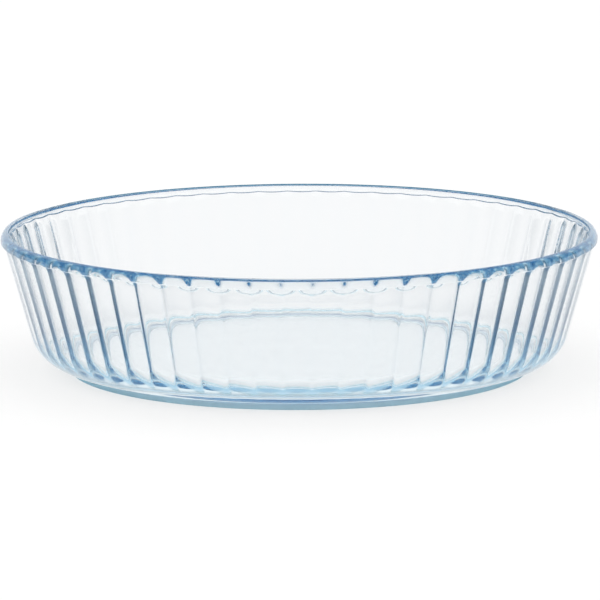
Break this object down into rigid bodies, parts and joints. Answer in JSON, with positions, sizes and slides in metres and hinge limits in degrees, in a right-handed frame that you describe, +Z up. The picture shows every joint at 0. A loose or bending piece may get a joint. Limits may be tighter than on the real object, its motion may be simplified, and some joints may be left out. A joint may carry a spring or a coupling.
{
  "type": "pie dish",
  "caption": "Round deep pie dish of clear pressed glass, plain outside and fluted inside, with a sloping wall, a quarter-round rim bead and a low foot ring.",
  "frame": {"origin": "middle of the face that the dish rests on", "axes": "+Z up along the dish's axis; X and Y level, with the middle of a flute along each of them"},
  "size_m": [0.26, 0.26, 0.0605],
  "materials": {
    "clear_glass": "fire-polished clear borosilicate glass with a faint blue tint that shows in its thick edges"
  },
  "bodies": {
    "root": {"glass_dish": "clear_glass"}
  },
  "joints": []
}
